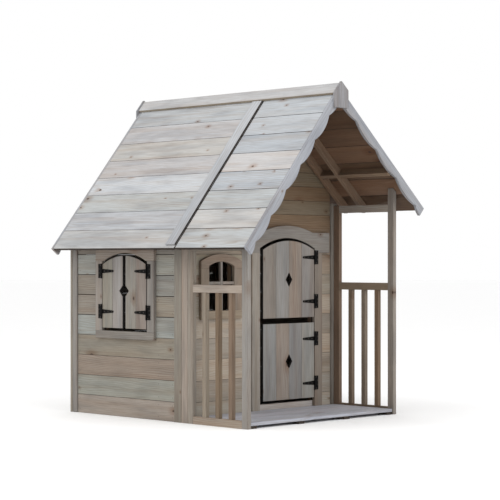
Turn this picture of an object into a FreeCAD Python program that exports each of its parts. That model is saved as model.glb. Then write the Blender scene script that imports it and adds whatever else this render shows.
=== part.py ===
"""Timber playhouse: a one-room cabin with a covered porch at its gable end.

Millimetres, +Z up. The sizes below are set out from the outer corner of the left porch post:
X runs right along the front, Y runs back along the left wall and Z is up from the ground.
Each piece is then moved so that the origin lies on the ground under the middle of the house.
Walls are "front" (a plane of X and Z, its depth along Y) and "left" (a plane of Y and Z, its
depth along X). Roof slopes are -1 for the left one and +1 for the right one.
"""
import FreeCAD, Part
import math
import os

Vec = FreeCAD.Vector

# --- overall sizes ---------------------------------------------------------------------------
house_width = 1260.0
house_length = 1515.0
porch_depth = 476.0
ridge_height = 1900.0  # where the top faces of the two slopes meet
left_eave_height = 988.0
right_eave_height = 1228.0
ridge_offset = 8.0  # the ridge lies this far to the right of the middle
left_overhang = 114.0
right_overhang = 136.0
front_overhang = 102.0
rear_overhang = 43.0

# --- timber ----------------------------------------------------------------------------------
board_thickness = 12.0
batten_thickness = 28.0
batten_width = 44.0
board_gap = 1.0
wall_board_pitch = 120.0
first_board_top = 112.0
gable_board_pitch = 85.0
gable_board_start = 1192.0
trim_thickness = 20.0
trim_width = 62.0
corner_post_depth = 50.0

# --- floor -----------------------------------------------------------------------------------
bearer_height = 16.0
bearer_width = 50.0
bearer_count = 4
floor_thickness = 18.0
deck_board_count = 4
deck_front_setback = 6.0
room_board_count = 9
floor_clearance = 2.0

# --- porch -----------------------------------------------------------------------------------
fence_height = 783.0
fence_foot_height = 44.0
spindle_width = 28.0
spindle_count = 3
top_rail_drop = 15.0

# --- roof ------------------------------------------------------------------------------------
roof_board_thickness = 16.0
roof_board_pitch = 141.0
roof_joint_setback = 9.0  # the rear roof panels reach this far over the porch
seam_gap = 8.0  # open joint between the front panels and the rear ones
seam_strip_width = 78.0
seam_strip_thickness = 9.0
seam_strip_setback = 20.0
cap_thickness = 16.0
cap_width = 60.0
rafter_depth = 44.0
rafter_width = 28.0
mid_porch_rafter = 302.0
room_rafter = 950.0
rafter_end_setback = 36.0
purlin_setback = 640.0  # from the ridge, down the slope
barge_thickness = 18.0
barge_depth = 58.0
scallop_depth = 20.0
left_scallops = 6
right_scallops = 4
scallop_end = 70.0  # plain stretch at the foot of a barge board
ridge_block_thickness = 16.0
ridge_block_half_width = 57.0
ridge_block_lift = 33.0  # its top above the ridge
ridge_block_skirt = 50.0
roof_clearance = 2.0

# --- door ------------------------------------------------------------------------------------
door_setback = 209.0  # from the right wall's face to the opening
door_width = 475.0
door_spring = 990.0
door_top = 1051.0
door_split = 558.0
door_split_gap = 33.0
threshold_height = 33.0
door_foot_gap = 20.0
latch_gap = 26.0
arch_gap = 16.0
hinge_gap = 6.0
leaf_thickness = 16.0
ledge_thickness = 16.0
ledge_width = 52.0
ledge_inset = 30.0
door_board_count = 4
jamb_width = 66.0
door_head_foot = 963.0
door_head_top = 1085.0
door_head_hump = 40.0
door_head_reach = 132.5  # the head board past the opening
door_head_shoulder = 153.0  # its level end, before the hump
door_diamond = (56.0, 88.0)
upper_diamond_height = 803.0
lower_diamond_height = 314.0

# --- front window ----------------------------------------------------------------------------
front_window_offset = 15.5  # its centre lies this far left of the middle of its wall space
front_window_width = 201.0
front_window_foot = 630.0
front_window_spring = 885.0
front_window_top = 912.0
front_window_jamb = 63.0
front_window_sill = 49.0
front_window_head_foot = 872.0
front_window_head_top = 956.0
window_bar = 17.0
window_bar_setback = 2.0
transom_height = 789.0

# --- shutter window --------------------------------------------------------------------------
side_window_offset = 15.0  # its centre lies this far in front of the cladding's middle
side_window_width = 401.0
side_window_foot = 503.0
side_window_spring = 908.0
side_window_top = 961.0
side_window_jamb = 58.0
side_window_sill = 45.0
side_window_head_foot = 915.0
side_window_head_top = 1012.0
shutter_middle_gap = 26.0
shutter_foot_gap = 17.0
shutter_board_count = 2
shutter_diamond = (86.0, 92.0)
shutter_diamond_height = 739.0

# --- T hinges --------------------------------------------------------------------------------
hinge_metal = 2.5
hinge_plate_height = 84.0
hinge_plate_width = 33.0
strap_length = 104.0
strap_root = 26.0
strap_tip = 13.0
barrel_radius = 4.0
pin_radius = 2.0
pin_clearance = 0.05
pin_head_radius = 3.2
pin_head_height = 2.0
knuckle_gap = 0.5
door_hinge_heights = {"upper_door": (936.0, 670.0), "lower_door": (444.0, 175.0)}
shutter_hinge_heights = (855.0, 616.0)
screw_head_radius = 4.2
screw_head_height = 1.6
screw_radius = 2.0
screw_grip = 9.0
plate_screw_spots = ((14.0, 34.0), (26.0, 12.0), (26.0, -12.0), (14.0, -34.0))
strap_screw_spots = (24.0, 56.0, 90.0)

# --- worked out from the sizes above ---------------------------------------------------------
LEFT, RIGHT = -1, 1
far = 4000.0  # longer than anything on the house
cut_margin = 1.0  # how far a cut runs past the piece it goes through
scallop_counts = {LEFT: left_scallops, RIGHT: right_scallops}
rear_face = house_length
ridge_x = house_width / 2 + ridge_offset
slope_run = {LEFT: ridge_x + left_overhang, RIGHT: house_width - ridge_x + right_overhang}
slope_drop = {LEFT: ridge_height - left_eave_height, RIGHT: ridge_height - right_eave_height}
slope_angle = {side: math.atan2(slope_drop[side], slope_run[side]) for side in (LEFT, RIGHT)}
slope_length = {side: math.hypot(slope_drop[side], slope_run[side]) for side in (LEFT, RIGHT)}
roof_front = -front_overhang
roof_rear = rear_face + rear_overhang
panel_front = roof_front + barge_thickness
panel_rear = roof_rear - barge_thickness
wall_run = {LEFT: ridge_x, RIGHT: house_width - ridge_x}
wall_height = {
    side: ridge_height
    - wall_run[side] * math.tan(slope_angle[side])
    - (roof_board_thickness + rafter_depth) / math.cos(slope_angle[side])
    - roof_clearance
    for side in (LEFT, RIGHT)
}

roof_joint = porch_depth - roof_joint_setback
under_boards = roof_board_thickness + roof_clearance
under_rafters = under_boards + rafter_depth
deck_top = bearer_height + floor_thickness
board_setback = trim_thickness - board_thickness
wall_core = trim_thickness + batten_thickness
front_board_face = porch_depth + board_thickness
front_frame_face = front_board_face + board_thickness
front_core_rear = front_frame_face + batten_thickness
front_trim_face = front_board_face - trim_thickness
side_trim_face = board_setback - trim_thickness
side_boards_front = porch_depth + corner_post_depth + trim_width
side_boards_rear = rear_face - trim_width

door_right = house_width - door_setback
door_left = door_right - door_width
door_centre = door_left + door_width / 2
door_foot = deck_top + threshold_height
front_window_space = (wall_core, door_left - jamb_width)
front_window_centre = sum(front_window_space) / 2 - front_window_offset
front_window_left = front_window_centre - front_window_width / 2
front_window_right = front_window_centre + front_window_width / 2
side_window_centre = (side_boards_front + side_boards_rear) / 2 - side_window_offset
side_window_front = side_window_centre - side_window_width / 2
side_window_rear = side_window_centre + side_window_width / 2
hinge_line = {"front": front_trim_face - barrel_radius, "left": side_trim_face - barrel_radius}
door_axis = door_right - hinge_gap / 2
rear_shutter_axis = side_window_rear - hinge_gap / 2
front_shutter_axis = side_window_front + hinge_gap / 2

body_left = -left_overhang
body_right = house_width + right_overhang
body_front = roof_front - ridge_block_thickness
body_rear = roof_rear + ridge_block_thickness
origin = Vec((body_left + body_right) / 2, (body_front + body_rear) / 2, 0)


# --- drawing helpers -------------------------------------------------------------------------
def block(x, y, z):
    """A straight piece from its (low, high) pairs along X, Y and Z."""
    return Part.makeBox(x[1] - x[0], y[1] - y[0], z[1] - z[0], Vec(x[0], y[0], z[0]))


def on_wall(wall, across, height, depth):
    """A point of a wall: across it, up it and into it."""
    if wall == "front":
        return Vec(across, depth, height)
    return Vec(depth, across, height)


def wall_block(wall, across, height, depth):
    """A straight piece on a wall from its (low, high) pairs across, up and into it."""
    if wall == "front":
        return block(across, depth, height)
    return block(depth, across, height)


def wall_plate(wall, start, steps, depth):
    """A flat piece on a wall. A step is a point, or a point on an arc and the arc's end."""
    edges = []
    here = on_wall(wall, start[0], start[1], depth[0])
    for step in steps:
        there = on_wall(wall, step[-2], step[-1], depth[0])
        if len(step) == 2:
            edges.append(Part.LineSegment(here, there).toShape())
        else:
            middle = on_wall(wall, step[0], step[1], depth[0])
            edges.append(Part.Arc(here, middle, there).toShape())
        here = there
    edges.append(Part.LineSegment(here, on_wall(wall, start[0], start[1], depth[0])).toShape())
    into = on_wall(wall, 0, 0, depth[1] - depth[0])
    return Part.Face(Part.Wire(edges)).extrude(into)


def arch(half, spring, top):
    """The height of an arch's centre, and its radius."""
    rise = top - spring
    radius = (half * half + rise * rise) / (2 * rise)
    return top - radius, radius


def arched(wall, centre, half, foot, curve, inset, depth):
    """An arch-topped piece on a wall, its curve drawn in by the inset."""
    middle, radius = curve
    radius = radius - inset
    spring = middle + math.sqrt(radius * radius - half * half)
    steps = (
        (centre + half, foot),
        (centre + half, spring),
        (centre, middle + radius, centre - half, spring),
    )
    return wall_plate(wall, (centre - half, foot), steps, depth)


def diamond(wall, centre, height, size, depth):
    """A lozenge on a wall, of this width and height."""
    wide, tall = size[0] / 2, size[1] / 2
    steps = ((centre + wide, height), (centre, height + tall), (centre - wide, height))
    return wall_plate(wall, (centre, height - tall), steps, depth)


def slope_point(side, along, below, y):
    """A point of a slope: down it from the ridge, and square into the roof from its top face."""
    cosine, sine = math.cos(slope_angle[side]), math.sin(slope_angle[side])
    x = ridge_x + side * (along * cosine - below * sine)
    return Vec(x, y, ridge_height - along * sine - below * cosine)


def slope_block(side, along, below, y):
    """A straight piece on a slope, cut plumb at the ridge."""
    (near, away), (top, under) = along, below
    corners = ((near, top), (away, top), (away, under), (near, under))
    points = [slope_point(side, s, b, y[0]) for s, b in corners]
    piece = Part.Face(Part.makePolygon(points + points[:1])).extrude(Vec(0, y[1] - y[0], 0))
    return beside_ridge(piece, side)


def beside_ridge(piece, side):
    """The piece on its own side of the ridge, with half a board gap left at the middle."""
    near = ridge_x + side * board_gap / 2
    x = (near - far, near) if side == LEFT else (near, near + far)
    return piece.common(block(x, (-far, far), (-far, far)))


def under_roof(piece, below):
    """The piece cut off under both slopes, this far in from their top faces."""
    for side in (LEFT, RIGHT):
        top = slope_point(side, -far, below, -far)
        foot = slope_point(side, far, below, -far)
        corner = Vec(top.x, -far, foot.z)
        wedge = Part.Face(Part.makePolygon([top, foot, corner, top])).extrude(Vec(0, 2 * far, 0))
        piece = piece.common(wedge)
    return piece


def without(pieces, *tools):
    """Each piece with the tools cut out of it."""
    kept = []
    for piece in pieces:
        for tool in tools:
            piece = piece.cut(tool)
        kept += piece.Solids
    return kept


def write(name, pieces):
    """One sub-part: its solids, moved to the origin and written as a STEP file."""
    solids = []
    for piece in pieces:
        solids += piece.Solids
    group = Part.makeCompound(solids) if len(solids) > 1 else solids[0]
    group.translate(-origin)
    group.exportStep("parts/" + name + ".step")


# --- openings --------------------------------------------------------------------------------
door_curve = arch(door_width / 2, door_spring, door_top)
front_window_curve = arch(front_window_width / 2, front_window_spring, front_window_top)
side_window_curve = arch(side_window_width / 2, side_window_spring, side_window_top)
front_through = (front_trim_face - cut_margin, front_core_rear + cut_margin)
side_through = (side_trim_face - cut_margin, wall_core + cut_margin)
door_hole = arched(
    "front", door_centre, door_width / 2, door_foot, door_curve, 0, front_through
)
front_window_hole = arched(
    "front", front_window_centre, front_window_width / 2, front_window_foot,
    front_window_curve, 0, front_through,
)
side_window_hole = arched(
    "left", side_window_centre, side_window_width / 2, side_window_foot,
    side_window_curve, 0, side_through,
)
sill_hole = block((door_left, door_right), front_through, (-cut_margin, door_foot))


# --- floor -----------------------------------------------------------------------------------
def strips(low, high, count):
    """Equal boards between two lines, a board gap apart, as (low, high) pairs."""
    width = (high - low - board_gap * (count - 1)) / count
    return [
        (low + number * (width + board_gap), low + number * (width + board_gap) + width)
        for number in range(count)
    ]


def bearers(x, y):
    """Bearers laid front to back on the ground, spread evenly from side to side."""
    pitch = (x[1] - x[0] - bearer_width) / (bearer_count - 1)
    starts = [x[0] + number * pitch for number in range(bearer_count)]
    return [block((start, start + bearer_width), y, (0, bearer_height)) for start in starts]


def make_floor():
    porch_x = (batten_thickness + floor_clearance, house_width - batten_thickness - floor_clearance)
    porch_y = (deck_front_setback, porch_depth - floor_clearance)
    room_x = (wall_core + floor_clearance, house_width - wall_core - floor_clearance)
    room_y = (front_core_rear + floor_clearance, rear_face - wall_core - floor_clearance)
    write("floor_bearers", bearers(porch_x, porch_y) + bearers(room_x, room_y))

    height = (bearer_height, deck_top)
    deck = [block(porch_x, y, height) for y in strips(*porch_y, deck_board_count)]
    deck.append(block(room_x, (porch_depth, front_board_face - floor_clearance), height))
    write("porch_deck_boards", deck)
    room = [block(room_x, y, height) for y in strips(*room_y, room_board_count)]
    write("room_floor_boards", room)
    sill_depth = (front_board_face, front_core_rear)
    threshold = block((door_left, door_right), sill_depth, (bearer_height, door_foot))
    write("door_threshold", [threshold])


# --- walls -----------------------------------------------------------------------------------
def courses(top):
    """The cladding boards' (low, high) pairs from the ground up to this height."""
    levels = [0.0]
    level = first_board_top
    while level < top - board_gap:
        levels.append(level)
        gable = level >= gable_board_start - wall_board_pitch / 2
        level += gable_board_pitch if gable else wall_board_pitch
    levels.append(top)
    return [(low + board_gap, high) for low, high in zip(levels, levels[1:])]


def side_courses(top):
    """The side walls' cladding boards, all of the lower pitch."""
    levels = [0.0, first_board_top]
    while levels[-1] + wall_board_pitch < top:
        levels.append(levels[-1] + wall_board_pitch)
    levels.append(top)
    return [(low + board_gap, high) for low, high in zip(levels, levels[1:])]


def on_side(side, x):
    """A (low, high) pair measured in from the left face, set on this side of the house."""
    return x if side == LEFT else (house_width - x[1], house_width - x[0])


def make_side_wall(side, name, hole):
    """Cladding and framing of a side wall, with a hole through both if there is one."""
    height = wall_height[side]
    tools = [hole] if hole else []
    y = (side_boards_front + board_gap, side_boards_rear - board_gap)
    x = on_side(side, (board_setback, trim_thickness))
    boards = [block(x, y, course) for course in side_courses(height)]
    write(name + "_wall_boards", without(boards, *tools))

    x = on_side(side, (trim_thickness, wall_core))
    front = front_core_rear + board_gap
    rear = rear_face - wall_core
    frame = [
        block(x, (front, rear), (0, batten_width)),
        block(x, (front, rear), (height - batten_width, height)),
    ]
    studs = [front, rear - batten_width]
    if hole:
        studs += [side_window_front - batten_width, side_window_rear]
    for start in studs:
        stud = (start, start + batten_width)
        frame.append(block(x, stud, (batten_width, height - batten_width)))
    if hole:
        between = (side_window_front, side_window_rear)
        frame.append(block(x, between, (side_window_foot - batten_width, side_window_foot)))
    write(name + "_wall_frame", frame)


def make_back_wall():
    x = (trim_width + board_gap, house_width - trim_width - board_gap)
    y = (rear_face - trim_thickness, rear_face - board_setback)
    boards = [under_roof(block(x, y, course), under_boards) for course in courses(ridge_height)]
    write("back_wall_boards", boards)

    x = (trim_thickness, house_width - trim_thickness)
    y = (rear_face - wall_core, rear_face - trim_thickness)
    eave = wall_height[LEFT]
    middle = ridge_x - batten_width / 2
    frame = [block(x, y, (0, batten_width)), block(x, y, (eave - batten_width, eave))]
    for start in (x[0], middle, x[1] - batten_width):
        stud = (start, start + batten_width)
        frame.append(block(stud, y, (batten_width, eave - batten_width)))
    for start in (middle, house_width - trim_width - batten_width):
        gable_stud = block((start, start + batten_width), y, (eave, ridge_height))
        frame.append(under_roof(gable_stud, under_boards))
    write("back_wall_frame", frame)


def make_front_wall():
    x = (wall_core + board_gap, house_width - wall_core - board_gap)
    y = (front_board_face, front_frame_face)
    boards = [under_roof(block(x, y, course), under_boards) for course in courses(ridge_height)]
    write("front_wall_boards", without(boards, door_hole, front_window_hole, sill_hole))

    y = (front_frame_face, front_core_rear)
    lintel = door_head_top
    frame = [
        block((x[0], door_left), y, (0, batten_width)),
        block((door_right, x[1]), y, (0, batten_width)),
        block(x, y, (lintel, lintel + batten_width)),
    ]
    window_stud = front_window_left - batten_width
    studs = (
        (x[0], min(x[0] + batten_width, window_stud)),
        (window_stud, front_window_left),
        (front_window_right, front_window_right + batten_width),
        (door_left - batten_width, door_left),
        (door_right, door_right + batten_width),
        (x[1] - batten_width, x[1]),
    )
    for stud in studs:
        frame.append(block(stud, y, (batten_width, lintel)))
    between = (front_window_left, front_window_right)
    frame.append(block(between, y, (front_window_foot - batten_width, front_window_foot)))
    middle = (ridge_x - batten_width / 2, ridge_x + batten_width / 2)
    king_post = block(middle, y, (lintel + batten_width, ridge_height))
    frame.append(under_roof(king_post, under_boards))
    write("front_wall_frame", frame)


def make_corners():
    """Corner posts at the porch end, and the trim boards that close the cladding's ends."""
    posts, trims = [], []
    for side in (LEFT, RIGHT):
        height = (0, wall_height[side])
        x = on_side(side, (0, wall_core))
        posts.append(block(x, (porch_depth, porch_depth + corner_post_depth), height))
        x = on_side(side, (0, trim_thickness))
        start = porch_depth + corner_post_depth + board_gap
        end = rear_face - trim_thickness - board_gap
        trims.append(block(x, (start, side_boards_front), height))
        trims.append(block(x, (side_boards_rear, end), height))
        x = on_side(side, (0, trim_width))
        edge = block(x, (rear_face - trim_thickness, rear_face), (0, ridge_height))
        trims.append(under_roof(edge, under_boards))
    write("corner_posts", posts)
    write("corner_trims", trims)


# --- windows and door frame ------------------------------------------------------------------
def make_frame(wall, name, opening, foot, jamb, head, hole, depth):
    """Jambs and sill round an opening. Head is the head board's solid, cut by the same hole."""
    low, high = opening
    sides = [(low - jamb, low), (high, high + jamb)]
    jambs = [wall_block(wall, side, foot, depth) for side in sides]
    write(name + "_jambs", without(jambs, hole, *drillings[wall]))
    write(name + "_head", without([head], hole, *drillings[wall]))


def make_side_window():
    depth = (side_trim_face, board_setback)
    outer = (side_window_front - side_window_jamb, side_window_rear + side_window_jamb)
    foot = (side_window_foot, side_window_head_foot)
    head = wall_block("left", outer, (side_window_head_foot, side_window_head_top), depth)
    head = under_roof(head, under_rafters)
    opening = (side_window_front, side_window_rear)
    hole = side_window_hole
    make_frame("left", "side_window", opening, foot, side_window_jamb, head, hole, depth)
    sill = wall_block("left", outer, (side_window_foot - side_window_sill, side_window_foot), depth)
    write("side_window_sill", [sill])


def make_front_window():
    depth = (front_trim_face, front_board_face)
    outer = (front_window_left - front_window_jamb, front_window_right + front_window_jamb)
    foot = (front_window_foot, front_window_head_foot)
    shoulder = (front_window_head_foot + front_window_head_top) / 2
    steps = (
        (outer[1], front_window_head_foot),
        (outer[1], shoulder),
        (front_window_centre, front_window_head_top, outer[0], shoulder),
    )
    head = wall_plate("front", (outer[0], front_window_head_foot), steps, depth)
    opening = (front_window_left, front_window_right)
    hole = front_window_hole
    make_frame("front", "front_window", opening, foot, front_window_jamb, head, hole, depth)
    sill = (front_window_foot - front_window_sill, front_window_foot)
    write("front_window_sill", [wall_block("front", outer, sill, depth)])

    bar_face = front_trim_face + window_bar_setback
    bar_depth = (bar_face, bar_face + window_bar)
    middle = (front_window_centre - window_bar / 2, front_window_centre + window_bar / 2)
    tall = (front_window_foot, front_window_top)
    mullion = wall_block("front", middle, tall, bar_depth).common(front_window_hole)
    cross = (transom_height - window_bar / 2, transom_height + window_bar / 2)
    left_bar = wall_block("front", (front_window_left, middle[0]), cross, bar_depth)
    right_bar = wall_block("front", (middle[1], front_window_right), cross, bar_depth)
    write("front_window_bars", [mullion, left_bar, right_bar])


def make_door_frame():
    depth = (front_trim_face, front_board_face)
    foot = (deck_top, door_head_foot)
    low, high = door_left - door_head_reach, door_right + door_head_reach
    hump = (low + door_head_shoulder, high - door_head_shoulder)
    steps = (
        (high, door_head_foot),
        (high, door_head_top),
        (hump[1], door_head_top),
        (door_centre, door_head_top + door_head_hump, hump[0], door_head_top),
        (low, door_head_top),
    )
    head = wall_plate("front", (low, door_head_foot), steps, depth)
    opening = (door_left, door_right)
    make_frame("front", "door_frame", opening, foot, jamb_width, head, door_hole, depth)


# --- leaves and their hinges -----------------------------------------------------------------
def make_leaf(name, wall, across, height, whole, holes, count, ledges):
    """A boarded leaf cut from its whole outline, with two ledges across its back."""
    face = front_trim_face if wall == "front" else side_trim_face
    front = (face, face + leaf_thickness)
    boards = []
    for strip in strips(across[0], across[1], count):
        boards.append(wall_block(wall, strip, height, front).common(whole))
    write(name + "_boards", without(boards, *holes, *drillings[name]))
    back = (front[1], front[1] + ledge_thickness)
    span = (across[0] + ledge_inset, across[1] - ledge_inset)
    pieces = [
        wall_block(wall, span, (level - ledge_width / 2, level + ledge_width / 2), back)
        for level in ledges
    ]
    write(name + "_ledges", without(pieces, *drillings[name]))


def make_doors():
    across = (door_left + latch_gap, door_right - hinge_gap)
    centre, half = (across[0] + across[1]) / 2, (across[1] - across[0]) / 2
    depth = (front_trim_face - cut_margin, front_trim_face + leaf_thickness + cut_margin)
    whole = arched("front", centre, half, door_foot + door_foot_gap, door_curve, arch_gap, depth)
    through = (depth[0], depth[1] + ledge_thickness)
    split = (door_split - door_split_gap / 2, door_split + door_split_gap / 2)
    spans = {
        "upper_door": ((split[1], door_top), upper_diamond_height),
        "lower_door": ((door_foot + door_foot_gap, split[0]), lower_diamond_height),
    }
    for name, (height, pane) in spans.items():
        hole = diamond("front", centre, pane, door_diamond, through)
        levels = door_hinge_heights[name]
        make_leaf(name, "front", across, height, whole, [hole], door_board_count, levels)


def make_shutters():
    depth = (side_trim_face - cut_margin, side_trim_face + leaf_thickness + cut_margin)
    centre = side_window_centre
    half = side_window_width / 2 - hinge_gap
    foot = side_window_foot + shutter_foot_gap
    whole = arched("left", centre, half, foot, side_window_curve, arch_gap, depth)
    through = (depth[0], depth[1] + ledge_thickness)
    hole = diamond("left", centre, shutter_diamond_height, shutter_diamond, through)
    height = (foot, side_window_top)
    spans = {
        "rear_shutter": (centre + shutter_middle_gap / 2, side_window_rear - hinge_gap),
        "front_shutter": (side_window_front + hinge_gap, centre - shutter_middle_gap / 2),
    }
    for name, across in spans.items():
        levels = shutter_hinge_heights
        make_leaf(name, "left", across, height, whole, [hole], shutter_board_count, levels)


def hinge_place(wall, axis, away, across, height, depth):
    """A point of a hinge. Across runs from its pin over the frame, depth from the frame's face."""
    face = front_trim_face if wall == "front" else side_trim_face
    return on_wall(wall, axis + away * across, height, face + depth)


def hinge_cylinder(wall, axis, radius, low, high):
    """A round piece about a hinge's pin line."""
    foot = on_wall(wall, axis, low, hinge_line[wall])
    return Part.makeCylinder(radius, high - low, foot, Vec(0, 0, 1))


def hinge_flat(wall, axis, away, outline):
    """Flat hinge metal on the face of the timber, from (across, height) corners."""
    points = [hinge_place(wall, axis, away, u, z, -hinge_metal) for u, z in outline]
    face = Part.Face(Part.makePolygon(points + points[:1]))
    return face.extrude(on_wall(wall, 0, 0, hinge_metal))


def hinge_plate(wall, axis, away, height):
    """The part of a hinge on the frame: a plate and the barrel's two end knuckles."""
    half = hinge_plate_height / 2
    middle = strap_root / 2 + knuckle_gap
    clear = barrel_radius + knuckle_gap
    outline = [
        (0, height - half), (hinge_plate_width, height - half),
        (hinge_plate_width, height + half), (0, height + half),
        (0, height + middle), (clear, height + middle),
        (clear, height - middle), (0, height - middle),
    ]
    plate = hinge_flat(wall, axis, away, outline)
    for low, high in ((height - half, height - middle), (height + middle, height + half)):
        plate = plate.fuse(hinge_cylinder(wall, axis, barrel_radius, low, high))
    bore = hinge_cylinder(wall, axis, pin_radius, height - half, height + half)
    return plate.cut(bore).removeSplitter()


def hinge_strap(wall, axis, away, height):
    """The part of a hinge on the leaf: a tapered strap and the barrel's middle knuckle."""
    root, tip = strap_root / 2, strap_tip / 2
    straight = strap_length - tip
    outline = [
        (0, height - root), (-straight, height - tip),
        (-straight, height + tip), (0, height + root),
    ]
    strap = hinge_flat(wall, axis, away, outline)
    centre = hinge_place(wall, axis, away, -straight, height, -hinge_metal)
    into = on_wall(wall, 0, 0, 1)
    strap = strap.fuse(Part.makeCylinder(tip, hinge_metal, centre, into))
    strap = strap.fuse(hinge_cylinder(wall, axis, barrel_radius, height - root, height + root))
    bore = hinge_cylinder(wall, axis, pin_radius + pin_clearance, height - root, height + root)
    return strap.cut(bore).removeSplitter()


def hinge_pin(wall, axis, height):
    """The pin through a hinge's barrel, with a head at each end."""
    half = hinge_plate_height / 2
    pin = hinge_cylinder(wall, axis, pin_radius, height - half, height + half)
    for low, high in (
        (height - half - pin_head_height, height - half),
        (height + half, height + half + pin_head_height),
    ):
        pin = pin.fuse(hinge_cylinder(wall, axis, pin_head_radius, low, high))
    return pin


def screw(wall, axis, away, across, height):
    """A domed screw through the hinge metal into the timber."""
    into = on_wall(wall, 0, 0, 1)
    seat = hinge_place(wall, axis, away, across, height, -hinge_metal)
    shank = Part.makeCylinder(screw_radius, hinge_metal + screw_grip, seat, into)
    bulge = (screw_head_radius ** 2 + screw_head_height ** 2) / (2 * screw_head_height)
    ball = Part.makeSphere(bulge, seat + into * (bulge - screw_head_height))
    crown = seat - into * screw_head_height
    head = Part.makeCylinder(screw_head_radius, screw_head_height, crown, into)
    return shank.fuse(ball.common(head)).removeSplitter()


# Each hinge as (leaf, wall, pin line, direction from the pin over the frame, height).
hinges = []
for leaf_name, levels in door_hinge_heights.items():
    hinges += [(leaf_name, "front", door_axis, 1, level) for level in levels]
for level in shutter_hinge_heights:
    hinges.append(("rear_shutter", "left", rear_shutter_axis, 1, level))
    hinges.append(("front_shutter", "left", front_shutter_axis, -1, level))

# Every screw, and by wall and by leaf the screws that are cut out of the timber and the metal.
plate_screws = []
strap_screws = {leaf_name: [] for leaf_name, *rest in hinges}
drillings = {"front": [], "left": [], **{leaf_name: [] for leaf_name in strap_screws}}
for leaf_name, wall, axis, away, level in hinges:
    for across, rise in plate_screw_spots:
        piece = screw(wall, axis, away, across, level + rise)
        plate_screws.append(piece)
        drillings[wall].append(piece)
    for reach in strap_screw_spots:
        piece = screw(wall, axis, away, -reach, level)
        strap_screws[leaf_name].append(piece)
        drillings[leaf_name].append(piece)


def make_hinges():
    plates = {"front": [], "left": []}
    straps = {leaf_name: [] for leaf_name in strap_screws}
    pins = []
    for leaf_name, wall, axis, away, level in hinges:
        plates[wall].append(hinge_plate(wall, axis, away, level))
        straps[leaf_name].append(hinge_strap(wall, axis, away, level))
        pins.append(hinge_pin(wall, axis, level))
    write("door_hinge_plates", without(plates["front"], *drillings["front"]))
    write("shutter_hinge_plates", without(plates["left"], *drillings["left"]))
    write("hinge_pins", pins)
    write("hinge_plate_screws", plate_screws)
    for leaf_name, pieces in straps.items():
        write(leaf_name + "_hinge_straps", without(pieces, *drillings[leaf_name]))
        write(leaf_name + "_strap_screws", strap_screws[leaf_name])


# --- porch -----------------------------------------------------------------------------------
def make_porch():
    posts, stiles, top_rails = [], [], []
    bay = (batten_width, porch_depth - batten_width)
    for side, name in ((LEFT, "left"), (RIGHT, "right")):
        x = on_side(side, (0, batten_thickness))
        post = block(x, (0, batten_width), (0, ridge_height))
        posts.append(under_roof(post, under_boards))
        top = wall_height[side] - top_rail_drop
        stiles.append(block(x, (bay[1], porch_depth), (0, top)))
        top_rails.append(block(x, bay, (top - batten_width, top)))
        rails = [
            block(x, bay, (0, fence_foot_height)),
            block(x, bay, (fence_height - batten_width, fence_height)),
        ]
        write(name + "_fence_rails", rails)
        gap = (bay[1] - bay[0] - spindle_count * spindle_width) / (spindle_count + 1)
        spindles = []
        for number in range(spindle_count):
            start = bay[0] + gap + number * (spindle_width + gap)
            height = (fence_foot_height, fence_height - batten_width)
            spindles.append(block(x, (start, start + spindle_width), height))
        write(name + "_fence_spindles", spindles)
    write("porch_posts", posts)
    write("porch_wall_stiles", stiles)
    write("porch_top_rails", top_rails)


# --- roof ------------------------------------------------------------------------------------
def make_roof_boards():
    names = {LEFT: "left", RIGHT: "right"}
    for side in (LEFT, RIGHT):
        spans = {
            "front": (panel_front, roof_joint - seam_gap),
            "rear": (roof_joint, panel_rear),
        }
        for place, y in spans.items():
            boards = []
            foot = slope_length[side]
            while foot > 0:
                head = foot - roof_board_pitch + board_gap
                if foot - roof_board_pitch <= 0:
                    head = -roof_board_thickness * 2
                boards.append(slope_block(side, (head, foot), (0, roof_board_thickness), y))
                foot -= roof_board_pitch
            write("roof_" + names[side] + "_" + place + "_boards", boards)


def make_roof_frame():
    """Rafters under the boards of both slopes, and a purlin in short lengths between them."""
    depth = (roof_board_thickness, roof_board_thickness + rafter_depth)
    wall_rafter = porch_depth - rafter_width
    rear_rafter = rear_face - wall_core - rafter_width
    bays = (
        (panel_front, mid_porch_rafter),
        (mid_porch_rafter + rafter_width, wall_rafter),
        (front_core_rear + roof_clearance, room_rafter),
        (room_rafter + rafter_width, rear_rafter),
    )
    along = (purlin_setback, purlin_setback + batten_thickness)
    rafters, purlins = [], []
    for side in (LEFT, RIGHT):
        span = (-rafter_depth * 2, slope_length[side] - rafter_end_setback)
        for start in (mid_porch_rafter, wall_rafter, room_rafter, rear_rafter):
            rafters.append(slope_block(side, span, depth, (start, start + rafter_width)))
        purlins += [slope_block(side, along, depth, bay) for bay in bays]
    write("rafters", rafters)
    write("purlins", purlins)


def make_seams_and_cap():
    on_seam = (-seam_strip_thickness, 0)
    on_ridge = (-cap_thickness, 0)
    seam_strips, caps = [], []
    for side in (LEFT, RIGHT):
        y = (roof_joint, roof_joint + seam_strip_width)
        along = (cap_width + board_gap, slope_length[side] - seam_strip_setback)
        seam_strips.append(slope_block(side, along, on_seam, y))
        caps.append(slope_block(side, (-cap_width, cap_width), on_ridge, (roof_front, roof_rear)))
    write("roof_seam_strips", seam_strips)
    write("ridge_cap_boards", caps)


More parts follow.
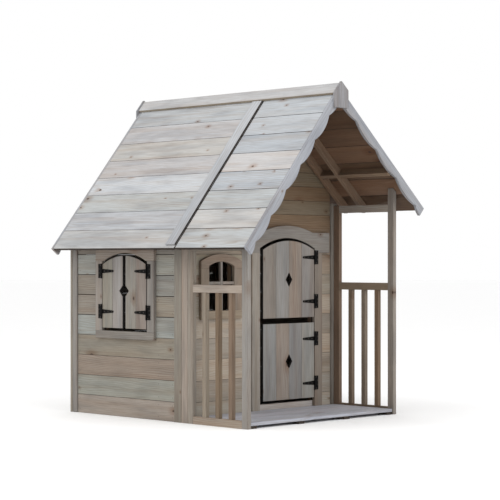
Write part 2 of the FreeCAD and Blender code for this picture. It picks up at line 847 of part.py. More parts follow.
def barge_board(side, y):
    """A board along the roof's edge, its lower edge a row of hanging scallops."""
    length = slope_length[side]
    count = scallop_counts[side]
    pitch = (length - scallop_end) / count
    shallow = barge_depth - scallop_depth
    above = slope_point(side, -barge_depth, 0, y[0])
    eave = slope_point(side, length, 0, y[0])
    here = slope_point(side, length, barge_depth, y[0])
    edges = [Part.LineSegment(above, eave).toShape(), Part.LineSegment(eave, here).toShape()]
    bends = [(scallop_end / 2, barge_depth - scallop_depth / 4, scallop_end)]
    for number in range(count):
        start = scallop_end + number * pitch
        bends.append((start + pitch / 2, barge_depth, start + pitch))
    for middle, deepest, end in bends:
        bend = slope_point(side, length - middle, deepest, y[0])
        there = slope_point(side, length - end, shallow, y[0])
        edges.append(Part.Arc(here, bend, there).toShape())
        here = there
    top = slope_point(side, -barge_depth, shallow, y[0])
    edges += [Part.LineSegment(here, top).toShape(), Part.LineSegment(top, above).toShape()]
    board = Part.Face(Part.Wire(edges)).extrude(Vec(0, y[1] - y[0], 0))
    return beside_ridge(board, side)


def make_gable_trim():
    barges, blocks = [], []
    for y in ((roof_front, panel_front), (panel_rear, roof_rear)):
        barges += [barge_board(side, y) for side in (LEFT, RIGHT)]
    write("barge_boards", barges)
    top = ridge_height + ridge_block_lift
    half = ridge_block_half_width
    foot = ridge_height - half * math.tan(slope_angle[LEFT]) - ridge_block_skirt
    shoulders = {side: top - half * math.tan(slope_angle[side]) for side in (LEFT, RIGHT)}
    steps = (
        (ridge_x + half, foot),
        (ridge_x + half, shoulders[RIGHT]),
        (ridge_x, top),
        (ridge_x - half, shoulders[LEFT]),
    )
    for depth in ((body_front, roof_front), (roof_rear, body_rear)):
        blocks.append(wall_plate("front", (ridge_x - half, foot), steps, depth))
    write("ridge_blocks", blocks)


os.makedirs("parts", exist_ok=True)
make_floor()
make_side_wall(LEFT, "left", side_window_hole)
make_side_wall(RIGHT, "right", None)
make_back_wall()
make_front_wall()
make_corners()
make_side_window()
make_front_window()
make_door_frame()
make_doors()
make_shutters()
make_hinges()
make_porch()
make_roof_boards()
make_roof_frame()
make_seams_and_cap()
make_gable_trim()
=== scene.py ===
import math

import bmesh
import bpy
import numpy as np
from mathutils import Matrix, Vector


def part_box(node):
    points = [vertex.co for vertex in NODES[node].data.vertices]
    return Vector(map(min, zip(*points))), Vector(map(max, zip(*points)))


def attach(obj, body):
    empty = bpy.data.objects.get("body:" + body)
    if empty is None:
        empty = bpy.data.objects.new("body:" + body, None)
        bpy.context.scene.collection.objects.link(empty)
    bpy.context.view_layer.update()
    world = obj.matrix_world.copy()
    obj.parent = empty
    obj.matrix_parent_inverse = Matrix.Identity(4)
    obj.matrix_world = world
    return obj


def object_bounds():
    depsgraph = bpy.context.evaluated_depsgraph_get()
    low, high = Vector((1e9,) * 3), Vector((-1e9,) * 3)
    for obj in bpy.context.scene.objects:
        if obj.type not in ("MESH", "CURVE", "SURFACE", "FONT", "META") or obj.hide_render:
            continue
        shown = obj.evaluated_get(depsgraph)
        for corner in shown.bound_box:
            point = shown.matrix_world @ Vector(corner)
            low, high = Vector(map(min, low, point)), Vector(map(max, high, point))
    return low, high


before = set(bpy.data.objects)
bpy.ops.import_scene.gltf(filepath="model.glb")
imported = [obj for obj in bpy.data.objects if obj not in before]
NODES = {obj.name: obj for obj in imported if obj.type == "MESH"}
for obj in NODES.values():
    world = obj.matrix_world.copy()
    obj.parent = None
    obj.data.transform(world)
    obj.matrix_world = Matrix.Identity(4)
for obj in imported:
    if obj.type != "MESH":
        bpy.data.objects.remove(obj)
cad_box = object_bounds()

X, Y, Z = Vector((1, 0, 0)), Vector((0, 1, 0)), Vector((0, 0, 1))


# --- places read from the frame --------------------------------------------------------------
def middle(node):
    """The middle of a CAD node's box."""
    low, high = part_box(node)
    return (low + high) / 2


SAME_POINT = 0.00005  # points on one such grid cell count as one
SAME_CORNER = 3  # decimals of a metre that put solids in order


def islands(node):
    """The vertices of each separate solid of a CAD node: lists of indices, and all the points."""
    mesh = NODES[node].data
    points = np.array([tuple(v.co) for v in mesh.vertices])
    cells = np.round(points / SAME_POINT).astype(np.int64)
    keys = np.unique(cells, axis=0, return_inverse=True)[1]
    keys = keys.reshape(-1)
    parent = list(range(keys.max() + 1))

    def root(k):
        while parent[k] != k:
            parent[k] = parent[parent[k]]
            k = parent[k]
        return k

    for edge in mesh.edges:
        a, b = root(keys[edge.vertices[0]]), root(keys[edge.vertices[1]])
        parent[a] = b
    groups = {}
    for index, key in enumerate(keys):
        groups.setdefault(root(key), []).append(index)

    def corner(group):
        return tuple(np.round(points[group].min(0), SAME_CORNER))

    return sorted(groups.values(), key=corner), points


def solids(node):
    """The (lowest, highest) corners of each separate solid of a CAD node, as numpy arrays."""
    found, points = islands(node)
    return [(points[group].min(0), points[group].max(0)) for group in found]


GOLDEN = 0.618034  # steps that spread numbers evenly between 0 and 1
NAME_STEP = 0.137  # the first number's step for each unit of the node's name


def number_boards(node):
    """A "board" number from 0 to 1 on every vertex, the same all over a board."""
    found, points = islands(node)
    numbers = np.zeros(len(points), dtype=np.float32)
    start = sum(ord(letter) for letter in node) * NAME_STEP
    for count, group in enumerate(found):
        numbers[group] = (start + count * GOLDEN) % 1.0
    NODES[node].data.attributes.new("board", "FLOAT", "POINT").data.foreach_set("value", numbers)


ridge_x = middle("ridge_blocks").x
roof_foot = {
    -1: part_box("roof_left_rear_boards"),
    1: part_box("roof_right_rear_boards"),
}


def slope_angle(side):
    """The pitch of a roof slope, from the box of its boards."""
    low, high = roof_foot[side]
    run = high.x - low.x
    drop = high.z - low.z
    return math.atan2(drop, run)


cosine_of = {side: math.cos(slope_angle(side)) for side in (-1, 1)}
sine_of = {side: math.sin(slope_angle(side)) for side in (-1, 1)}


# --- node helpers ----------------------------------------------------------------------------
def linear(colour):
    """An sRGB colour of 0-255 numbers as linear RGBA."""
    def channel(value):
        value = value / 255
        return value / 12.92 if value <= 0.04045 else ((value + 0.055) / 1.055) ** 2.4
    return (*[channel(value) for value in colour], 1.0)


BUMP_DEPTH = 0.001


class Tree:
    """A material's node tree with short calls to build it."""

    def __init__(self, name):
        self.material = bpy.data.materials.new(name)
        self.material.use_nodes = True
        self.tree = self.material.node_tree
        self.tree.nodes.clear()

    def node(self, kind, inputs=(), **settings):
        made = self.tree.nodes.new(kind)
        for key, value in settings.items():
            setattr(made, key, value)
        for place, value in dict(inputs).items():
            self.set(made.inputs[place], value)
        return made

    def set(self, socket, value):
        if isinstance(value, bpy.types.NodeSocket):
            self.tree.links.new(value, socket)
        else:
            socket.default_value = value

    def math(self, operation, a, b=0.0, c=0.0, clamp=False):
        made = self.node("ShaderNodeMath", {0: a, 1: b, 2: c}, operation=operation)
        made.use_clamp = clamp
        return made.outputs[0]

    def vector(self, operation, a, b=(0, 0, 0)):
        made = self.node("ShaderNodeVectorMath", {0: a, 1: b}, operation=operation)
        return made.outputs["Value" if operation in ("DOT_PRODUCT", "LENGTH") else "Vector"]

    def place(self):
        """Where the surface is, in the object's own space."""
        return self.node("ShaderNodeTexCoord").outputs["Object"]

    def facing(self):
        """Which way the flat face looks, in the object's own space."""
        flat = self.node("ShaderNodeNewGeometry").outputs["True Normal"]
        turned = self.node("ShaderNodeVectorTransform", {"Vector": flat}, vector_type="NORMAL")
        turned.convert_from = "WORLD"
        turned.convert_to = "OBJECT"
        return turned.outputs[0]

    def arris(self, radius, full):
        """1 along the edges, where a normal rounded to this radius leaves the flat one."""
        flat = self.node("ShaderNodeNewGeometry").outputs["Normal"]
        soft = self.node("ShaderNodeBevel", {"Radius": radius}, samples=4).outputs[0]
        return self.ramp(self.vector("DOT_PRODUCT", flat, soft), 0.995, full)

    def combine(self, x, y, z):
        return self.node("ShaderNodeCombineXYZ", {"X": x, "Y": y, "Z": z}).outputs[0]

    def ramp(self, value, low, high, to_low=0.0, to_high=1.0):
        """Value, moved smoothly from one range to another."""
        inputs = {"Value": value, "From Min": low, "From Max": high}
        inputs.update({"To Min": to_low, "To Max": to_high})
        made = self.node("ShaderNodeMapRange", inputs, interpolation_type="SMOOTHSTEP")
        return made.outputs["Result"]

    def mix(self, amount, a, b, blend="MIX"):
        made = self.node("ShaderNodeMix", data_type="RGBA", blend_type=blend)
        self.set(made.inputs["Factor"], amount)
        self.set(made.inputs["A"], a)
        self.set(made.inputs["B"], b)
        return made.outputs["Result"]

    def tones(self, value, colours):
        """A colour picked between these by a value from 0 to 1."""
        made = self.node("ShaderNodeValToRGB", {"Fac": value})
        stops = made.color_ramp.elements
        while len(stops) < len(colours):
            stops.new(0.5)
        for number, colour in enumerate(colours):
            stops[number].position = number / (len(colours) - 1)
            stops[number].color = linear(colour)
        return made.outputs["Color"]

    def noise(self, vector, scale=1.0, detail=2.0, rough=0.5, distortion=0.0):
        inputs = {"Vector": vector, "Scale": scale, "Detail": detail}
        inputs.update({"Roughness": rough, "Distortion": distortion})
        return self.node("ShaderNodeTexNoise", inputs).outputs[0]

    def finish(self, colour, roughness, height, bump, **sockets):
        """The surface: a Principled shader with this colour, roughness and bump."""
        relief = {"Height": height, "Strength": bump, "Distance": BUMP_DEPTH}
        normal = self.node("ShaderNodeBump", relief)
        inputs = {"Base Color": colour, "Roughness": roughness, "Normal": normal.outputs[0]}
        inputs.update(sockets)
        shader = self.node("ShaderNodeBsdfPrincipled", inputs)
        output = self.node("ShaderNodeOutputMaterial")
        self.tree.links.new(shader.outputs[0], output.inputs["Surface"])
        return self.material


# --- wood ------------------------------------------------------------------------------------
FIR = {
    "cladding": [
        (150, 150, 142), (164, 166, 160), (146, 139, 128), (158, 153, 146), (144, 133, 121),
    ],
    # painted light: paler than the side cladding, so the lower front wall under the porch looks
    # lit
    "front": [(172, 164, 152), (186, 181, 170), (158, 147, 133), (178, 170, 158)],
    # painted light: the roof and ridge cap are paler and bluer than the walls, for sky light on
    # the slopes
    "roof": [(184, 190, 196), (190, 195, 200), (180, 185, 191), (195, 200, 205), (187, 186, 183)],
    "cap": [(184, 187, 191), (190, 193, 196), (180, 182, 184)],
    "trim": [(152, 147, 141), (142, 136, 129), (160, 155, 148)],
    "rail": [(177, 165, 152), (168, 153, 139)],
    "spindle": [(142, 126, 107), (118, 96, 77), (151, 144, 131), (128, 102, 81)],
    "leaf": [(148, 135, 125), (152, 152, 148), (152, 150, 148), (148, 139, 130)],
    "jamb": [(158, 156, 150), (154, 151, 144), (136, 126, 116)],
    "stile": [(118, 98, 82), (122, 102, 86), (152, 146, 138), (148, 141, 133)],
    "floor": [(184, 188, 199), (178, 182, 193), (190, 194, 203)],
    # painted light: paler than the floor, to lift the threshold out of the doorway's shade
    "threshold": [(206, 203, 200), (200, 197, 194)],
    "framing": [(128, 108, 90), (138, 117, 98), (118, 99, 82)],
    "gable": [(168, 171, 178), (160, 164, 171), (176, 180, 187)],
    "block": [(150, 153, 159), (144, 147, 152)],
    # painted shade: dark brown tones for faces that look down, such as the roof's underside
    "under": [(112, 88, 68), (92, 72, 56), (126, 100, 80), (102, 78, 60)],
    # painted shade: near-black tones for the bearers in the dark under the deck
    "bearer": [(58, 49, 41), (48, 40, 34)],
    # painted shade: the seam strip's front side face, dark brown-black
    "seam": [(50, 41, 34), (42, 34, 28)],
    # painted shade: the ridge cap's lower edge face, darker than its top
    "edge": [(160, 152, 138), (152, 143, 128)],
    # painted shade: browner and darker than the trim, for the front window under the porch roof
    "window": [(146, 132, 118), (156, 143, 129), (138, 122, 108)],
}


KNOT_SPACING = (0.23, 0.09)  # along the grain and across it
KNOT_STRETCH = 0.62  # offsets along the grain count for this much, so knots are longer that way
KNOT_RADIUS = (0.0020, 0.0070)  # the smallest, and how much more the largest has
BOARD_SHIFTS = (31.7, 17.3)  # what sets boards apart in the pattern, along and across the grain
RESHUFFLES = (41.3, 97.7)  # what turns a board's number into a second and a third one
RING_SWEEP = 0.115  # how far rings wander across a board, in metres
FIBRES = 420.0  # to a metre, across the grain
WOOD_ARRIS = 0.004
METAL_ARRIS = 0.0015
WOOD_ROUGH = 0.60
WOOD_GLOSS = 0.32
WOOD_BUMP = 0.35
METAL_ROUGH = 0.45
METAL_GLOSS = 0.09
METAL_BUMP = 0.25

PLAIN = linear((255, 255, 255))
PINK_STREAK = linear((242, 232, 224))
DULL_PATCH = linear((214, 216, 220))
LATE_WOOD = linear((204, 180, 156))
FIBRE_BROWN = linear((196, 186, 178))
HALO_BROWN = linear((196, 150, 112))
KNOT_BROWN = linear((62, 42, 31))
HEART_BROWN = linear((30, 22, 18))
HANDLED = linear((146, 130, 116))
RUBBED = linear((92, 88, 84))
BOARD_TINTS = [(255, 244, 236), (255, 255, 255), (236, 240, 244), (246, 246, 238)]


def board_axes(tree, along, across):
    """Position along a board's grain, across its face and through it, from one direction each."""
    place = tree.place()
    through = along.cross(across)
    return [tree.vector("DOT_PRODUCT", place, tuple(way)) for way in (along, across, through)]


def slope_axes(tree):
    """The same for boards that run down either slope of the roof."""
    place = tree.place()
    parts = tree.node("ShaderNodeSeparateXYZ", {0: place})
    sideways = tree.math("SUBTRACT", parts.outputs["X"], ridge_x)
    right = tree.math("GREATER_THAN", sideways, 0.0)
    out = tree.math("ABSOLUTE", sideways)
    cosine = tree.math("MULTIPLY_ADD", right, cosine_of[1] - cosine_of[-1], cosine_of[-1])
    sine = tree.math("MULTIPLY_ADD", right, sine_of[1] - sine_of[-1], sine_of[-1])
    down = tree.math("MULTIPLY", parts.outputs["Z"], -1.0)
    along = tree.math("ADD", tree.math("MULTIPLY", out, cosine), tree.math("MULTIPLY", down, sine))
    through = tree.math(
        "SUBTRACT", tree.math("MULTIPLY", out, sine), tree.math("MULTIPLY", down, cosine)
    )
    return [along, through, parts.outputs["Y"]]


def wood(
    name, tones, axes, knots=0.2, ring=0.011, vary=1.0, shade=None, joint=None, height_shade=None
):
    """Planed, unfinished fir: a tone for each board, growth rings, fibres and knots.

    Vary is how far boards differ in tint. Shade is (direction, tones), painted shade: faces that
    look that way take those darker tones instead. Joint is (direction, colour), painted shade in
    the gaps: the board's edges, which look away from that direction, darken to that colour. The
    height band (low, high, colour) is painted shade under the porch roof: between these two
    heights the boards turn browner, by that colour.
    """
    tree = Tree(name)
    along, across, through = axes(tree)
    chance = tree.node("ShaderNodeAttribute", attribute_name="board").outputs["Fac"]
    along = tree.math("MULTIPLY_ADD", chance, BOARD_SHIFTS[0], along)
    across_here = tree.math("MULTIPLY_ADD", chance, BOARD_SHIFTS[1], across)
    second = tree.math("FRACT", tree.math("MULTIPLY", chance, RESHUFFLES[0]))
    third = tree.math("FRACT", tree.math("MULTIPLY", chance, RESHUFFLES[1]))
    facing = tree.facing()

    # Knots: a scattering of points over the face, stretched along the grain.
    spot = tree.combine(
        tree.math("DIVIDE", along, KNOT_SPACING[0]),
        tree.math("DIVIDE", across_here, KNOT_SPACING[1]),
        0.0,
    )
    cells = tree.node(
        "ShaderNodeTexVoronoi", {"Vector": spot, "Scale": 1.0}, voronoi_dimensions="2D"
    )
    offset = tree.vector("SUBTRACT", spot, cells.outputs["Position"])
    stretch = (KNOT_SPACING[0] * KNOT_STRETCH, KNOT_SPACING[1], 0.0)
    offset = tree.vector("MULTIPLY", offset, stretch)
    distance = tree.vector("LENGTH", offset)
    dice = tree.node("ShaderNodeSeparateColor", {0: cells.outputs["Color"]})
    has_knot = tree.math("LESS_THAN", dice.outputs[0], knots)
    size = tree.math("POWER", dice.outputs[1], 2.0)
    size = tree.math("MULTIPLY_ADD", size, KNOT_RADIUS[1], KNOT_RADIUS[0])
    reach = tree.math("DIVIDE", distance, size)
    wobble = tree.noise(tree.combine(along, across_here, through), 150.0, 2.0)
    reach = tree.math("ADD", reach, tree.math("MULTIPLY_ADD", wobble, 1.1, -0.55))
    knot = tree.math("MULTIPLY", tree.ramp(reach, 1.2, 0.7), has_knot)
    heart = tree.math("MULTIPLY", tree.ramp(reach, 0.7, 0.1), has_knot)
    halo = tree.math("MULTIPLY", tree.ramp(reach, 6.0, 0.6), has_knot)

    # Growth rings, drawn out along the grain and bent round the knots.
    slow = tree.combine(
        tree.math("MULTIPLY", along, 1.1), tree.math("MULTIPLY", across_here, 6.0), through
    )
    sweep = tree.noise(slow, 1.0, 2.0, 0.45, 0.3)
    bent = tree.math("MULTIPLY_ADD", sweep, RING_SWEEP, across)
    bent = tree.math("MULTIPLY_ADD", halo, 0.006, bent)
    bent = tree.math("MULTIPLY_ADD", through, 0.55, bent)
    rings = tree.math("FRACT", tree.math("DIVIDE", bent, ring))
    late = tree.math("POWER", rings, 2.6)
    late = tree.math("MULTIPLY", late, tree.ramp(rings, 1.0, 0.93))
    late = tree.math("MULTIPLY", late, tree.math("MULTIPLY_ADD", second, 0.8, 0.2))

    fibre_place = tree.combine(
        tree.math("MULTIPLY", along, 9.0),
        tree.math("MULTIPLY", across_here, FIBRES),
        tree.math("MULTIPLY", through, FIBRES),
    )
    fibre = tree.noise(fibre_place, 1.0, 3.0, 0.6)
    streak_place = tree.combine(
        tree.math("MULTIPLY", along, 1.2),
        tree.math("MULTIPLY", across_here, 26.0),
        tree.math("MULTIPLY", through, 20.0),
    )
    streak = tree.noise(streak_place, 1.0, 3.0, 0.55)
    cloud = tree.combine(along, tree.math("MULTIPLY", across_here, 6.0), through)
    blotch = tree.noise(cloud, 3.0, 2.0)

    colour = tree.tones(chance, tones)
    # Painted shade: faces that look the given way take the darker shade tones.
    if shade:
        direction, dark_tones = shade
        under = tree.vector("DOT_PRODUCT", facing, tuple(direction))
        colour = tree.mix(tree.ramp(under, 0.2, 0.5), colour, tree.tones(chance, dark_tones))
    pink = tree.mix(tree.ramp(streak, 0.42, 0.70, 0.0, 0.75), PLAIN, PINK_STREAK)
    colour = tree.mix(1.0, colour, pink, "MULTIPLY")
    dull = tree.mix(tree.ramp(blotch, 0.40, 0.72, 0.0, 0.6), PLAIN, DULL_PATCH)
    colour = tree.mix(1.0, colour, dull, "MULTIPLY")
    tint = tree.tones(third, BOARD_TINTS)
    colour = tree.mix(vary, colour, tint, "MULTIPLY")
    colour = tree.mix(tree.math("MULTIPLY", late, 0.75), colour, LATE_WOOD, "MULTIPLY")
    grain = tree.mix(tree.ramp(fibre, 0.35, 0.75, 0.0, 0.55), PLAIN, FIBRE_BROWN)
    colour = tree.mix(1.0, colour, grain, "MULTIPLY")
    colour = tree.mix(tree.math("MULTIPLY", halo, 0.5), colour, HALO_BROWN, "MULTIPLY")
    colour = tree.mix(tree.math("MULTIPLY", knot, 0.85), colour, KNOT_BROWN)
    colour = tree.mix(tree.math("MULTIPLY", heart, 0.7), colour, HEART_BROWN)

    # Handling marks and darkened arrises, found where a rounded normal leaves the flat one.
    arris = tree.arris(WOOD_ARRIS, 0.86)
    worn = tree.math("MULTIPLY", arris, tree.ramp(blotch, 0.3, 0.62, 0.15, 0.7))
    colour = tree.mix(worn, colour, HANDLED, "MULTIPLY")
    # Painted shade: between these heights the boards darken, for the gable under the porch roof.
    if height_shade:
        low, high, brown = height_shade
        level = tree.vector("DOT_PRODUCT", tree.place(), tuple(Z))
        colour = tree.mix(tree.ramp(level, low, high), colour, linear(brown), "MULTIPLY")
    # Painted shade in the gaps and grooves: edge faces darken to the joint colour.
    if joint:
        direction, dark = joint
        turned = tree.math("ABSOLUTE", tree.vector("DOT_PRODUCT", facing, tuple(direction)))
        colour = tree.mix(tree.ramp(turned, 0.99, 0.80, 0.0, 0.95), colour, linear(dark))

    roughness = tree.math("MULTIPLY_ADD", fibre, 0.16, WOOD_ROUGH)
    roughness = tree.math("MULTIPLY_ADD", knot, -0.18, roughness)
    height = tree.math("MULTIPLY_ADD", late, 0.35, tree.math("MULTIPLY", fibre, 0.55))
    height = tree.math("MULTIPLY_ADD", knot, -0.5, height)
    return tree.finish(
        colour, roughness, height, WOOD_BUMP, **{"Specular IOR Level": WOOD_GLOSS}
    )


def black_metal(name, coat, dust):
    """Black powder coat: a fine orange peel, dust in patches and small rubbed spots."""
    tree = Tree(name)
    place = tree.place()
    peel = tree.noise(place, 900.0, 2.0)
    patch = tree.noise(place, 60.0, 3.0)
    rub = tree.noise(place, 240.0, 4.0, 0.7)
    colour = tree.mix(tree.ramp(patch, 0.4, 0.75, 0.0, 0.5), linear(coat), linear(dust))
    arris = tree.arris(METAL_ARRIS, 0.85)
    rubbed = tree.math("MULTIPLY", arris, tree.ramp(rub, 0.52, 0.66, 0.0, 0.7))
    colour = tree.mix(rubbed, colour, RUBBED)
    roughness = tree.math("MULTIPLY_ADD", patch, 0.25, METAL_ROUGH)
    return tree.finish(
        colour, roughness, peel, METAL_BUMP, **{"Specular IOR Level": METAL_GLOSS}
    )


def along_and_across(along, across):
    """Axes for boards that all lie the same way."""
    return lambda tree: board_axes(tree, along, across)


def slope_across(side):
    """The direction down a slope, square to the ridge."""
    return Vector((side * cosine_of[side], 0, -sine_of[side]))


# Painted shade on the roof boards' undersides and down-slope edges.
UNDERSIDE_SHADE = (-Z, FIR["under"])
SHADOW = (40, 31, 25)
# painted shade: door and shutter leaf edges go near black, for the dark gaps around them
GAP_SHADOW = (20, 18, 17)
FEW_KNOTS = 0.1
HARDLY_ANY = 0.05
MANY_KNOTS = 0.3
door_head_height = middle("door_frame_head").z
# Painted shade on the front wall's gable under the porch roof.
GABLE_SHADE = (door_head_height - 0.30, door_head_height + 0.15, (186, 172, 154))
SLOPE_OUT = {side: Vector((side * sine_of[side], 0, cosine_of[side])) for side in (-1, 1)}
MATERIALS = {
    "cladding_side": wood(
        "fir_cladding_side", FIR["cladding"], along_and_across(Y, Z), joint=(X, SHADOW)
    ),
    "cladding_rear": wood(
        "fir_cladding_rear", FIR["cladding"], along_and_across(X, Z), joint=(Y, SHADOW)
    ),
    "cladding_front": wood(
        "fir_cladding_front", FIR["front"], along_and_across(X, Z), joint=(Y, SHADOW),
        height_shade=GABLE_SHADE,
    ),
    "roof_left": wood(
        "fir_roof_left", FIR["roof"], along_and_across(Y, slope_across(-1)),
        MANY_KNOTS, vary=0.6, shade=UNDERSIDE_SHADE, joint=(SLOPE_OUT[-1], SHADOW),
    ),
    "roof_right": wood(
        "fir_roof_right", FIR["roof"], along_and_across(Y, slope_across(1)),
        MANY_KNOTS, vary=0.6, shade=UNDERSIDE_SHADE, joint=(SLOPE_OUT[1], SHADOW),
    ),
    "roof_cap": wood(
        "fir_roof_cap", FIR["cap"], along_and_across(Y, Z),
        FEW_KNOTS, vary=0.3, shade=(-Z, FIR["edge"]),
    ),
    "slope": wood(
        "fir_seam_strip", FIR["roof"], slope_axes,
        HARDLY_ANY, vary=0.3, shade=(-Y, FIR["seam"]),
    ),
    "barge": wood("fir_barge_board", FIR["gable"], slope_axes, FEW_KNOTS, vary=0.5),
    "rafter": wood("fir_rafter", FIR["framing"], slope_axes),
    "frame_y": wood("fir_framing_long", FIR["framing"], along_and_across(Y, Z)),
    "frame_z": wood("fir_framing_upright", FIR["framing"], along_and_across(Z, X)),
    "trim_x": wood("fir_trim_crosswise", FIR["trim"], along_and_across(X, Z)),
    "trim_y": wood("fir_trim_lengthwise", FIR["trim"], along_and_across(Y, Z)),
    "rail": wood("fir_rail", FIR["rail"], along_and_across(Y, Z)),
    # Painted shade: the right fence's rails take the darker spindle tones.
    "rail_right": wood("fir_rail_painted_shade", FIR["spindle"], along_and_across(Y, Z)),
    "trim_z_front": wood("fir_trim_upright_front", FIR["trim"], along_and_across(Z, X)),
    "trim_z_side": wood("fir_trim_upright_side", FIR["trim"], along_and_across(Z, Y)),
    "window_x": wood("fir_window_head", FIR["window"], along_and_across(X, Z)),
    "window_z": wood("fir_window_jamb", FIR["window"], along_and_across(Z, X)),
    "jamb": wood("fir_door_jamb", FIR["jamb"], along_and_across(Z, X), vary=0.3),
    "stile": wood("fir_stile", FIR["stile"], along_and_across(Z, Y), vary=0.4),
    "spindle": wood("fir_spindle", FIR["spindle"], along_and_across(Z, Y)),
    "leaf_front": wood("fir_door", FIR["leaf"], along_and_across(Z, X), joint=(Y, GAP_SHADOW)),
    "leaf_side": wood("fir_shutter", FIR["leaf"], along_and_across(Z, Y), joint=(X, GAP_SHADOW)),
    "threshold": wood("fir_threshold", FIR["threshold"], along_and_across(X, Z), vary=0.3),
    "floor": wood("fir_floor", FIR["floor"], along_and_across(X, Y), FEW_KNOTS, vary=0.3),
    "bearer": wood("fir_bearer_painted_shade", FIR["bearer"], along_and_across(Y, X), vary=0.3),
    "block": wood("fir_ridge_block", FIR["block"], along_and_across(Z, X), HARDLY_ANY, vary=0.3),
    "metal": black_metal("black_powder_coat", (7, 6, 6), (18, 17, 16)),
    "screw": black_metal("worn_black_screw", (58, 53, 50), (84, 78, 73)),
}

FINISH = {
    "left_wall_boards": "cladding_side",
    "right_wall_boards": "cladding_side",
    "front_wall_boards": "cladding_front",
    "back_wall_boards": "cladding_rear",
    "left_wall_frame": "frame_z",
    "right_wall_frame": "frame_z",
    "front_wall_frame": "frame_z",
    "back_wall_frame": "frame_z",
    "corner_posts": "trim_z_side",
    "corner_trims": "trim_z_side",
    "side_window_jambs": "trim_z_side",
    "side_window_head": "trim_y",
    "side_window_sill": "trim_y",
    "front_window_jambs": "window_z",
    "front_window_head": "window_x",
    "front_window_sill": "window_x",
    "front_window_bars": "trim_z_front",
    "door_frame_jambs": "jamb",
    "door_frame_head": "trim_x",
    "door_threshold": "threshold",
    "upper_door_boards": "leaf_front",
    "lower_door_boards": "leaf_front",
    "upper_door_ledges": "trim_x",
    "lower_door_ledges": "trim_x",
    "rear_shutter_boards": "leaf_side",
    "front_shutter_boards": "leaf_side",
    "rear_shutter_ledges": "trim_y",
    "front_shutter_ledges": "trim_y",
    "porch_posts": "trim_z_side",
    "porch_wall_stiles": "stile",
    "porch_top_rails": "trim_y",
    "left_fence_rails": "rail",
    "right_fence_rails": "rail_right",
    "left_fence_spindles": "spindle",
    "right_fence_spindles": "spindle",
    "floor_bearers": "bearer",
    "porch_deck_boards": "floor",
    "room_floor_boards": "floor",
    "roof_left_front_boards": "roof_left",
    "roof_left_rear_boards": "roof_left",
    "roof_right_front_boards": "roof_right",
    "roof_right_rear_boards": "roof_right",
    "roof_seam_strips": "slope",
    "barge_boards": "barge",
    "rafters": "rafter",
    "purlins": "frame_y",
    "ridge_cap_boards": "roof_cap",
    "ridge_blocks": "block",
}


SHARP = math.radians(40)


def dress(node, finish, eased):
    """A CAD node's material, with its solids welded and their edges eased."""
    thing = NODES[node]
    number_boards(node)
    thing.data.materials.clear()
    thing.data.materials.append(MATERIALS[finish])
    weld = thing.modifiers.new("join_faces", "WELD")
    weld.merge_threshold = SAME_POINT
    bevel = thing.modifiers.new("eased_edges", "BEVEL")
    bevel.width = eased
    bevel.segments = 2
    bevel.limit_method = "ANGLE"
    bevel.angle_limit = SHARP
    bevel.harden_normals = True


WOOD_EASE = 0.0020
JOINT_EASE = 0.0030
ROOF_EASE = 0.0042
METAL_EASE = 0.0004
for node in NODES:
    if "screws" in node:
        dress(node, "screw", METAL_EASE)
    elif "hinge" in node:
        dress(node, "metal", METAL_EASE)
    elif "wall_boards" in node:
        dress(node, FINISH[node], JOINT_EASE)
    elif node.startswith("roof_") and "boards" in node:
        dress(node, FINISH[node], ROOF_EASE)
    else:
        dress(node, FINISH[node], WOOD_EASE)


# --- nails -----------------------------------------------------------------------------------
def nail_heads(name, spots, out, body="house", radius=0.0026, proud=0.0006):
    """Small round nail heads at these points, standing out along one direction."""
    mesh = bmesh.new()
    turn = out.to_track_quat("Z", "Y").to_matrix().to_4x4()
    for spot in spots:
        made = bmesh.ops.create_cone(
            mesh, cap_ends=True, segments=10, radius1=radius, radius2=radius * 0.7, depth=proud
        )
        for vertex in made["verts"]:
            vertex.co = turn @ vertex.co + Vector(spot) + out * proud * 0.4
    data = bpy.data.meshes.new(name)
    mesh.to_mesh(data)
    mesh.free()
    thing = bpy.data.objects.new(name, data)
    bpy.context.scene.collection.objects.link(thing)
    data.materials.append(MATERIALS["nail"])
    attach(thing, body)
    return thing


def zinc(name):
    """Dull zinc nail heads with dark tarnish."""
    tree = Tree(name)
    place = tree.place()
    patch = tree.noise(place, 700.0, 3.0)
    colour = tree.mix(tree.ramp(patch, 0.4, 0.65), linear((120, 116, 110)), linear((74, 66, 58)))
    roughness = tree.math("MULTIPLY_ADD", patch, 0.3, 0.35)
    return tree.finish(colour, roughness, patch, 0.3, Metallic=0.7)


MATERIALS["nail"] = zinc("nail_zinc")

NAIL_INSET = 0.022  # from a board's long edges
FRAME_INSET = 0.020  # from the end of the wall to the middle of its last batten
END_CLEARANCE = 0.006


def wall_nails(name, node, face, out, lines):
    """Two nails in each cladding board where it crosses each line of framing."""
    across = 1 if abs(out.x) > 0.5 else 0
    spots = []
    for low, high in solids(node):
        rows = [low[2] + NAIL_INSET, high[2] - NAIL_INSET]
        if high[2] - low[2] < 3 * NAIL_INSET:
            rows = [(low[2] + high[2]) / 2]
        for line in lines:
            if low[across] + END_CLEARANCE < line < high[across] - END_CLEARANCE:
                for z in rows:
                    spots.append((face, line, z) if across == 1 else (line, face, z))
    nail_heads(name, spots, out)


left_low, left_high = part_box("left_wall_boards")
right_low, right_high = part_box("right_wall_boards")
side_lines = [left_low.y + FRAME_INSET, left_high.y - FRAME_INSET]
side_lines.append(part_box("side_window_jambs")[0].y - FRAME_INSET)
wall_nails("left_wall_nails", "left_wall_boards", left_low.x, -X, side_lines)
side_middle = (right_low.y + right_high.y) / 2
side_lines = [right_low.y + FRAME_INSET, side_middle, right_high.y - FRAME_INSET]
wall_nails("right_wall_nails", "right_wall_boards", right_high.x, X, side_lines)


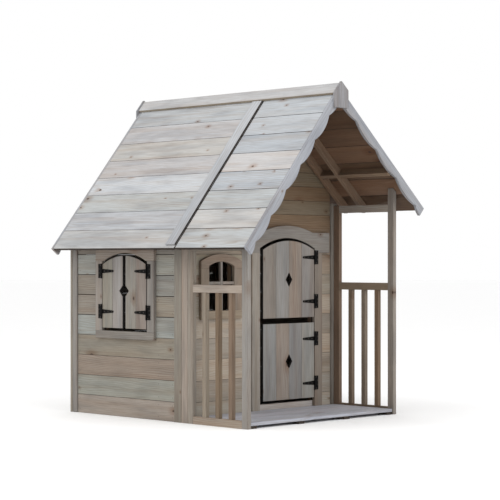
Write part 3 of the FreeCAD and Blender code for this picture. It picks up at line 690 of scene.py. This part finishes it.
# --- floor, light and camera -----------------------------------------------------------------
def make_floor(radius):
    """A wide, plain, pale ground."""
    mesh = bmesh.new()
    bmesh.ops.create_circle(mesh, cap_ends=True, segments=96, radius=radius)
    data = bpy.data.meshes.new("ground")
    mesh.to_mesh(data)
    mesh.free()
    ground = bpy.data.objects.new("ground", data)
    bpy.context.scene.collection.objects.link(ground)
    tree = Tree("ground_paint")
    place = tree.place()
    mottle = tree.noise(place, 3.0, 2.0)
    colour = tree.mix(mottle, linear((251, 251, 251)), linear((254, 254, 254)))
    data.materials.append(tree.finish(colour, 0.9, mottle, 0.02))


def area_light(name, place, aim, size, power):
    """A square soft light."""
    light = bpy.data.lights.new(name, "AREA")
    light.size = size
    light.energy = power
    light.color = LAMP_COLOUR
    lamp = bpy.data.objects.new(name, light)
    bpy.context.scene.collection.objects.link(lamp)
    lamp.location = place
    lamp.rotation_mode = "QUATERNION"
    lamp.rotation_quaternion = (Vector(aim) - Vector(place)).to_track_quat("-Z", "Y")


def make_world(strength):
    """A plain white studio all round."""
    world = bpy.data.worlds.new("studio")
    world.use_nodes = True
    sky = world.node_tree.nodes["Background"]
    sky.inputs["Color"].default_value = (1.0, 1.0, 1.0, 1.0)
    sky.inputs["Strength"].default_value = strength
    bpy.context.scene.world = world


CAMERA_TURN = math.radians(-45.3)
CAMERA_BACK = 9.0
CAMERA_SIDE = 0.0134
CAMERA_HEIGHT = 0.932
CAMERA_LENS = 119.4
CAMERA_SHIFT = 0.016


def make_camera():
    """A level long-lens camera out from the porch's left corner."""
    ahead = Vector((-math.sin(CAMERA_TURN), math.cos(CAMERA_TURN), 0))
    right = Vector((math.cos(CAMERA_TURN), math.sin(CAMERA_TURN), 0))
    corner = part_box("porch_posts")[0]
    data = bpy.data.cameras.new("camera")
    data.lens = CAMERA_LENS
    data.sensor_width = 36
    data.shift_y = CAMERA_SHIFT
    data.clip_end = 200
    camera = bpy.data.objects.new("camera", data)
    bpy.context.scene.collection.objects.link(camera)
    place = corner - ahead * CAMERA_BACK + right * CAMERA_SIDE
    camera.location = (place.x, place.y, CAMERA_HEIGHT)
    camera.rotation_mode = "QUATERNION"
    camera.rotation_quaternion = ahead.to_track_quat("-Z", "Y")
    bpy.context.scene.camera = camera


SKY = 1.0
GROUND_RADIUS = 60
KEY_PLACE, KEY_SIZE = (-4.0, 0.5, 6.5), 4.0
FRONT_PLACE, FRONT_SIZE = (-0.8, -6.0, 5.0), 3.0
LAMP_POWER = 110
LAMP_COLOUR = (1.0, 0.99, 0.98)

bpy.context.scene.view_settings.view_transform = "Standard"
make_world(SKY)
make_floor(GROUND_RADIUS)
centre = (cad_box[0] + cad_box[1]) / 2
area_light("key", KEY_PLACE, centre, KEY_SIZE, LAMP_POWER)
area_light("front", FRONT_PLACE, centre, FRONT_SIZE, LAMP_POWER)
make_camera()
